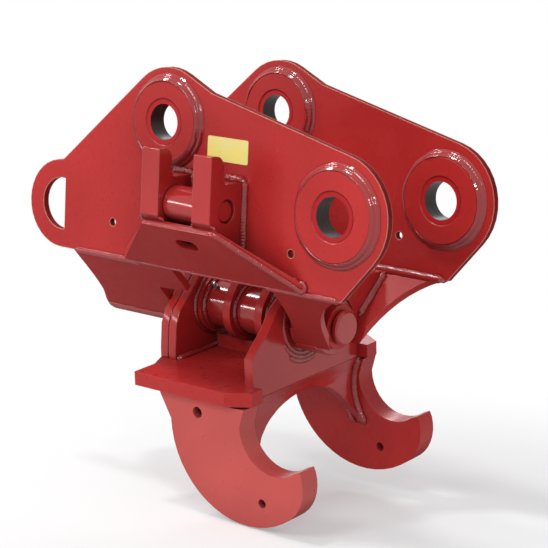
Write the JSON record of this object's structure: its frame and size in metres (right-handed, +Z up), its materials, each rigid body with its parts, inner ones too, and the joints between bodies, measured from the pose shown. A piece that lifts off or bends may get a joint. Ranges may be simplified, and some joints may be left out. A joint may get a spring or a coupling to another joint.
{
  "type": "excavator quick coupler",
  "caption": "Tilting excavator quick coupler: twin side plates with pin bores over a hook frame that rolls on a long pivot pin, driven by a cross cylinder",
  "frame": {"origin": "middle of the dipper pin's axis, half way between the side plates", "axes": "+X from the link pin toward the dipper pin, +Y from the near side plate (the one with the cylinder lugs) to the far one, +Z up, away from the hooks"},
  "size_m": [0.7765, 0.4518, 0.7414],
  "materials": {
    "red_paint": "thick glossy red paint over welded plate",
    "bare_steel": "machined steel",
    "chrome": "hard chrome rod",
    "bronze": "bearing bronze"
  },
  "bodies": {
    "upper_frame": {"side_plate_near": "red_paint", "side_plate_far": "red_paint", "dipper_boss_near": "red_paint", "dipper_boss_far": "red_paint", "link_boss_near": "red_paint", "link_boss_far": "red_paint", "dipper_bush_near": "bare_steel", "dipper_bush_far": "bare_steel", "link_bush_near": "bare_steel", "link_bush_far": "bare_steel", "front_flank_near": "red_paint", "front_flank_far": "red_paint", "rear_flank_near": "red_paint", "rear_flank_far": "red_paint", "front_cross_plate": "red_paint", "front_hub": "red_paint", "rear_hub": "red_paint", "pivot_pin": "red_paint", "front_pin_collar": "red_paint", "rear_pin_collar": "red_paint", "front_thrust_washer": "bronze", "rear_thrust_washer": "bronze", "cylinder_lug_rear": "red_paint", "cylinder_lug_front": "red_paint", "cylinder_base_pin": "red_paint", "base_pin_keeper": "red_paint", "base_pin_bolt": "bare_steel", "pocket_plate": "red_paint"},
    "hook_frame": {"hook_near": "red_paint", "hook_far": "red_paint", "shelf_plate": "red_paint", "rear_bulkhead_outer": "red_paint", "rear_bulkhead_inner": "red_paint", "front_bulkhead": "red_paint", "throat_web": "red_paint", "hub_tube": "red_paint", "tube_collar": "red_paint", "hub_rib": "red_paint", "pivot_bush_front": "bronze", "pivot_bush_rear": "bronze", "crank_lug_rear": "red_paint", "crank_lug_front": "red_paint", "rod_pin": "bare_steel", "grease_nipple_front": "bare_steel", "grease_nipple_rear": "bare_steel"},
    "tilt_cylinder": {"cylinder_base_eye": "red_paint", "cylinder_barrel": "red_paint", "cylinder_gland": "bare_steel", "cylinder_port_1": "bare_steel", "cylinder_port_2": "bare_steel"},
    "cylinder_rod_body": {"cylinder_rod": "chrome", "cylinder_piston": "bare_steel", "cylinder_rod_eye": "bare_steel"}
  },
  "joints": [
    {"name": "tilt", "type": "hinge", "parent": "upper_frame", "child": "hook_frame", "pos_m": [-0.29, 0, -0.213], "axis": [1, 0, 0], "range_deg": [-29, 15]},
    {"name": "cylinder_swing", "type": "hinge", "parent": "upper_frame", "child": "tilt_cylinder", "pos_m": [-0.2635, -0.195, -0.014], "axis": [1, 0, 0], "range_deg": [-2.5, 1.4]},
    {"name": "rod_slide", "type": "slide", "parent": "tilt_cylinder", "child": "cylinder_rod_body", "axis": [0, 0.9455, -0.3255], "range_m": [-0.033, 0.063]}
  ],
  "couplings": [
    {"joint": "cylinder_swing", "follows": "tilt", "ratio": 0.0817},
    {"joint": "rod_slide", "follows": "tilt", "m_per_rad": -0.12105}
  ]
}
